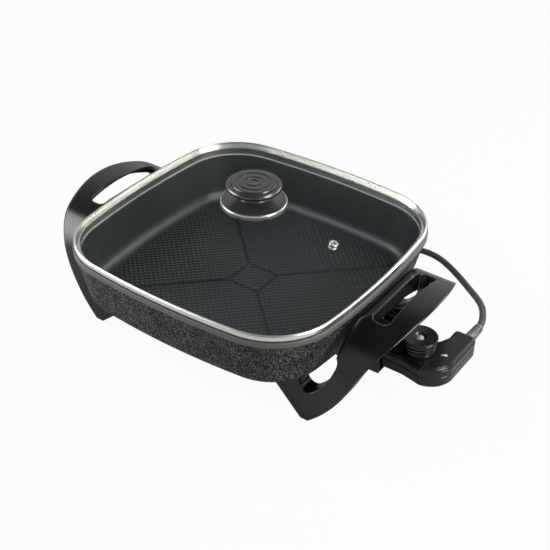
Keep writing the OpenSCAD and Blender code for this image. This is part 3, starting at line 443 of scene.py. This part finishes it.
# ---------------------------------------------------------------- heating element
# A steel-sheathed heating rod cast into the pan's underside. Its two ends come out through
# steatite beads as plated pins that plug into the control.
sheath = Finish("rod_sheath", Metallic=1.0)
heat = sheath.noise(60, 4, 0.6)
sheath.set(Base_Color=sheath.mix(heat, (0.10, 0.085, 0.07), (0.28, 0.26, 0.24)), Roughness=0.42 + 0.2 * heat,
           Normal=sheath.bump(sheath.noise(500, 3), 0.00006))
sheath.on("heating_element")

steatite = Finish("steatite", IOR=1.55)
speck = steatite.noise(900, 3, 0.7)
steatite.set(Base_Color=steatite.mix(speck.step(0.55, 0.7), (0.78, 0.75, 0.68), (0.60, 0.56, 0.5)),
             Roughness=0.25 + 0.2 * speck)
steatite.on("terminal_beads")

pin_metal = Finish("plated_pins", Metallic=1.0)
rub = pin_metal.noise(700, 4, 0.6)
pin_metal.set(Base_Color=pin_metal.mix(rub, (0.58, 0.57, 0.55), (0.76, 0.75, 0.73)),
              Roughness=0.16 + 0.2 * rub, Normal=pin_metal.bump(rub, 0.00003))
pin_metal.on("terminal_pins", "sensor_probe")


# ---------------------------------------------------------------- guard and screws
# A folded steel tray under the pins, stove-enamelled black and held by two screws. The
# screws of the whole skillet are zinc-plated steel.
guard_coat = Finish("guard_coat", IOR=1.5)
dust = guard_coat.noise(500, 4, 0.65)
guard_coat.set(Base_Color=guard_coat.mix(dust.step(0.45, 0.7),
                                         (0.016, 0.016, 0.017), (0.045, 0.045, 0.046)),
               Roughness=0.34 + 0.2 * dust,
               Normal=guard_coat.bump(dust, 0.00012, normal=guard_coat.soft_edge(0.0005)))
guard_coat.on("terminal_guard")

zinc = Finish("zinc", Metallic=1.0)
bloom = zinc.noise(260, 4, 0.65)
zinc.set(Base_Color=zinc.mix(bloom, (0.42, 0.42, 0.44), (0.66, 0.66, 0.66)), Roughness=0.26 + 0.22 * bloom,
         Normal=zinc.bump(bloom, 0.00005))
zinc.on("guard_screws", "handle_screws_right", "handle_screws_left", "case_screws", "probe_collar",
        "cord_clamp", "thermostat_frame", "knob_screw", "knob_washer", "dial_spindle")


# ---------------------------------------------------------------- handles
# Each handle is one glossy black phenolic moulding: an arched grip with a finger slot that
# runs down into two legs, open like a channel underneath. The lower wall in the slot is drawn matt and near
# black, as painted shade.
slot_inner, slot_reach, slot_below = 162 * mm, 54 * mm, 5 * mm
slot_skin = 0.4 * mm
phenolic = Finish("handle_phenolic", Metallic=0.0, IOR=1.5, Specular_IOR_Level=0.55)
haze = phenolic.noise(9, 3, 0.55)
skin = phenolic.noise(1500, 3, 0.6)
wave = phenolic.noise(38, 2, 0.5)
phenolic.set(Base_Color=phenolic.mix(haze, (0.0030, 0.0030, 0.0032), (0.0065, 0.0064, 0.0062)),
             Roughness=0.13 + 0.10 * haze + 0.04 * skin,
             Normal=phenolic.bump(wave * 0.7 + skin * 0.06, 0.00025, normal=phenolic.soft_edge(0.0028, 8)))
# painted shade: a near-black matt shader that replaces the glossy phenolic on the slot's wall
inward = phenolic.make("BsdfDiffuse", None, Color=(0.006, 0.006, 0.006))
grip_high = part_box("handle_right")[1]
point, hx, hy, hz = phenolic.place()
hx = (hx - pan_mid).size()
slot_shade_mask = ((hx > slot_inner - slot_skin) * (hx < slot_inner + slot_skin) * (hy.size() < slot_reach)
           * (hz < grip_high.z - slot_below))
phenolic.put(phenolic.output.inputs["Surface"], phenolic.make(
    "MixShader", None, slot_shade_mask * 0.9, Sock(phenolic, phenolic.surface.outputs[0]), inward))
phenolic.on("handle_right", "handle_left")


# ---------------------------------------------------------------- lid glass
# A tempered glass pane, 4 mm thick, pressed to a low dome with a flat edge that sits in
# the steel band. It is left whole under the knob and the vent, whose pieces hide their holes.
lid_low, lid_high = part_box("lid_glass")
glass_t = 4 * mm
dome_rise = lid_high.z - lid_low.z - glass_t
dome_power = 2.4
dome_edge = 4.6 * mm
pane_edge = 2.4 * mm
corner_radius = 70 * mm
side_share = 0.45


def outline_point(angle_step, steps, inward):
    """A point of the rim's outline, drawn inward, by its place along the loop."""
    a = side_radius - pan_half
    b = side_radius - corner_radius
    centre = (math.sqrt(2 * b * b - a * a) - a) / 2
    side_angle = math.atan2(centre, centre + a)
    quarter, place = divmod(angle_step, steps)
    t = place / steps
    if t < side_share:
        s = -side_angle + 2 * side_angle * t / side_share
        middle, radius = Vector((-a, 0)), side_radius - inward
    else:
        s = side_angle + (math.pi / 2 - 2 * side_angle) * (t - side_share) / (1 - side_share)
        middle, radius = Vector((centre, centre)), corner_radius - inward
    p = middle + radius * Vector((math.cos(s), math.sin(s)))
    return Matrix.Rotation(math.pi / 2 * quarter, 2) @ p


def pane():
    """Points and faces of the pane: rings from the middle out along its underside and back over its top."""
    steps = 32
    count = 4 * steps
    shares = [0.025, 0.04, 0.08, 0.13, 0.19, 0.26, 0.33, 0.40, 0.47, 0.54, 0.61, 0.68, 0.74, 0.80, 0.86,
              0.91, 0.95, 0.98, 1.0]
    loops = []
    for level in (0, 1):
        base = lid_low.z + level * glass_t
        edge = [outline_point(k, steps, dome_edge) for k in range(count)]
        rows = [[(p * share, base + dome_rise * (1 - share ** dome_power)) for p in edge] for share in shares]
        for inward in ((dome_edge + pane_edge) / 2, pane_edge):
            rows.append([(outline_point(k, steps, inward), base) for k in range(count)])
        loops.append(rows)
    rings = loops[0] + loops[1][::-1]
    points = [(p.x + pan_mid, p.y, z) for ring in rings for p, z in ring]
    faces = []
    total = len(rings)
    for j in range(total):
        for k in range(count):
            a, b = j * count + k, j * count + (k + 1) % count
            c, d = ((j + 1) % total) * count + (k + 1) % count, ((j + 1) % total) * count + k
            faces.append((a, b, c, d))
    return points, faces


lid_pane = build("lid_pane", *pane(), "lid", "glass")
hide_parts("lid_glass")

pane_gloss = Finish("lid_clear_glass", Base_Color=(0.005, 0.008, 0.007), Roughness=0.02, IOR=1.5)
sheen = pane_gloss.make("Fresnel", None, IOR=1.46)
tint = pane_gloss.make("BsdfTransparent", None, Color=(0.972, 0.985, 0.982))
pane_gloss.put(pane_gloss.output.inputs["Surface"], pane_gloss.make(
    "MixShader", None, (sheen * 0.6).least(0.035), tint, Sock(pane_gloss, pane_gloss.surface.outputs[0])))
pane_gloss.on(lid_pane)


# ---------------------------------------------------------------- lid band and vent
# The pane's edge is held by a band rolled from polished stainless sheet. Its rougher lower hem is drawn pale
# and non-metallic as a painted highlight, a dark painted shade line runs inside its top lip, and a spun
# stainless eyelet lines the steam vent.
band_low, band_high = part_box("lid_band")
polished = Finish("polished_steel")
point, sx, sy, sz = polished.place()
wipe = polished.noise(22, 3, 0.6, point)
# painted highlight: the lower hem is drawn pale and non-metallic, a light line along the band's bottom
hem_highlight = sz.step(band_low.z + 1.5 * mm, band_low.z + 1.0 * mm)
# painted shade: a dark line around the inner edge of the band's top lip
lip_edge_reach = 146.4 * mm
lip_edge_shade = ((reach_of(polished, sx, sy) - lip_edge_reach).size().step(0.8 * mm, 0.4 * mm)
        * (sz > band_high.z - 2.5 * mm))
steel = polished.mix(wipe, (0.74, 0.73, 0.68), (0.85, 0.84, 0.79))
polished.set(Base_Color=polished.mix(lip_edge_shade * 0.7, steel, (0.16, 0.16, 0.15)),
             Roughness=0.25 + 0.06 * wipe + 0.2 * hem_highlight, Metallic=1 - 0.9 * hem_highlight,
             Normal=polished.bump(wipe, 0.00005, normal=polished.soft_edge(0.0009, 12)))
polished.on("lid_band", "vent_eyelet")


# ---------------------------------------------------------------- lid knob
# The knob is two phenolic mouldings, a flared skirt and a disc, drawn together by a screw
# from below. A ringed insert closes the disc; silicone washers keep steel off the glass. The
# skirt's upright edge is drawn as pale metal, a painted highlight, and its phenolic is drawn lighter than the
# disc's as painted light.
knob_skin = Finish("knob_phenolic", IOR=1.62, Specular_IOR_Level=0.85)
knob_haze = knob_skin.noise(60, 3, 0.6)
knob_grain = knob_skin.noise(1600, 2, 0.6)
knob_skin.set(Base_Color=knob_skin.mix(knob_haze, (0.006, 0.006, 0.0065), (0.011, 0.011, 0.012)),
              Roughness=0.20 + 0.10 * knob_haze,
              Normal=knob_skin.bump(knob_grain, 0.00004, normal=knob_skin.soft_edge(0.0026, 16)))
knob_skin.on("knob_disc", "knob_insert")

skirt_skin = Finish("skirt_phenolic", IOR=1.62, Specular_IOR_Level=0.8)
skirt_low, skirt_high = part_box("knob_skirt")
skirt_mid = (skirt_low + skirt_high) / 2
point, kx, ky, _ = skirt_skin.place()
away = ((kx - skirt_mid.x) ** 2 + (ky - skirt_mid.y) ** 2) ** 0.5
# painted highlight: the skirt's upright edge is drawn as pale metal
rim_highlight = away.step(31.6 * mm, 32.4 * mm)
skirt_haze = skirt_skin.noise(60, 3, 0.6, point)
# painted light: the skirt's phenolic is drawn lighter than the disc's, a lit copy of it
skirt_lit_colour = skirt_skin.mix(skirt_haze, (0.018, 0.018, 0.020), (0.030, 0.030, 0.033))
skirt_skin.set(Base_Color=skirt_skin.mix(rim_highlight, skirt_lit_colour, (0.50, 0.50, 0.52)),
               Metallic=rim_highlight * 0.8, Roughness=0.26 + 0.10 * skirt_haze - 0.08 * rim_highlight,
               Normal=skirt_skin.bump(skirt_skin.noise(1600, 2, 0.6), 0.00004,
                                      normal=skirt_skin.soft_edge(0.0024, 16)))
skirt_skin.on("knob_skirt")

silicone = Finish("silicone", IOR=1.42)
bloom_ = silicone.noise(300, 3)
silicone.set(Base_Color=silicone.mix(bloom_, (0.52, 0.52, 0.5), (0.66, 0.66, 0.64)),
             Roughness=0.45 + 0.2 * bloom_)
silicone.on("knob_gasket_upper", "knob_gasket_lower", "lead_wires")


# ---------------------------------------------------------------- heat control
# The control's housing is two phenolic shells screwed together from below. A raised light
# mark on the top shell shows the dial's setting.
dial_low, dial_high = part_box("dial")
dial_mid = (dial_low + dial_high) / 2
shell = Finish("control_phenolic", IOR=1.5, Specular_IOR_Level=0.42)
point, cx, cy, cz = shell.place()
shell_haze = shell.noise(24, 3, 0.6, point)
shell_grain = shell.noise(1300, 3, 0.6, point)
mark_x, mark_y, shell_top = dial_mid.x + 24 * mm, dial_mid.y + 6 * mm, 56.7 * mm
mark = (((cx - mark_x).size() < 6 * mm) * ((cy - mark_y).size() < 4 * mm) * (cz > shell_top))
shell.set(Base_Color=shell.mix(mark, shell.mix(shell_haze, (0.006, 0.006, 0.0065), (0.011, 0.011, 0.012)),
                               (0.55, 0.54, 0.50)),
          Roughness=0.14 + 0.10 * shell_haze + 0.2 * mark,
          Normal=shell.bump(shell_grain, 0.00004, normal=shell.soft_edge(0.0018, 16)))
shell.on("case_top", "case_bottom")

bronze = Finish("spring_bronze", Metallic=1.0)
heat_ = bronze.noise(300, 3)
bronze.set(Base_Color=bronze.mix(heat_, (0.5, 0.33, 0.16), (0.7, 0.5, 0.28)), Roughness=0.25 + 0.15 * heat_)
bronze.on("bimetal_blade", "contact_spring")

neon = Finish("neon_lamp", IOR=1.5, Emission_Strength=0.4)
glow_ = neon.noise(400, 2)
neon.set(Base_Color=neon.mix(glow_, (0.8, 0.35, 0.14), (0.9, 0.5, 0.25)), Roughness=0.1 + 0.1 * glow_,
         Emission_Color=neon.mix(glow_, (0.9, 0.3, 0.08), (1.0, 0.45, 0.15)))
neon.on("indicator_lamp")

nylon = Finish("cam_nylon", IOR=1.53)
milk = nylon.noise(350, 3)
nylon.set(Base_Color=nylon.mix(milk, (0.55, 0.5, 0.38), (0.66, 0.6, 0.46)), Roughness=0.4 + 0.15 * milk)
nylon.on("dial_cam")


# ---------------------------------------------------------------- dial
# A ribbed phenolic dial with a domed clear lens in its top, which shows the lamp below. The lens itself is
# drawn with a faint warm glow, painted light.
dial_skin = Finish("dial_phenolic", IOR=1.5)
dial_haze = dial_skin.noise(80, 3, 0.6)
dial_skin.set(Base_Color=dial_skin.mix(dial_haze, (0.007, 0.007, 0.0075), (0.013, 0.013, 0.014)),
              Roughness=0.17 + 0.10 * dial_haze,
              Normal=dial_skin.bump(dial_skin.noise(1500), 0.00006, normal=dial_skin.soft_edge(0.0006, 12)))
dial_skin.on("dial")

# painted light: the lens is given a faint warm glow of its own
lens = Finish("lens", IOR=1.49, Emission_Strength=0.05)
milky = lens.noise(260, 3)
lens.set(Base_Color=lens.mix(milky, (0.26, 0.25, 0.24), (0.40, 0.38, 0.36)), Roughness=0.08 + 0.1 * milky,
         Emission_Color=lens.mix(milky, (0.8, 0.68, 0.55), (0.9, 0.8, 0.66)))
lens.on("dial_lens")


# ---------------------------------------------------------------- scene update
# The view layer is brought up to date.
bpy.context.view_layer.update()
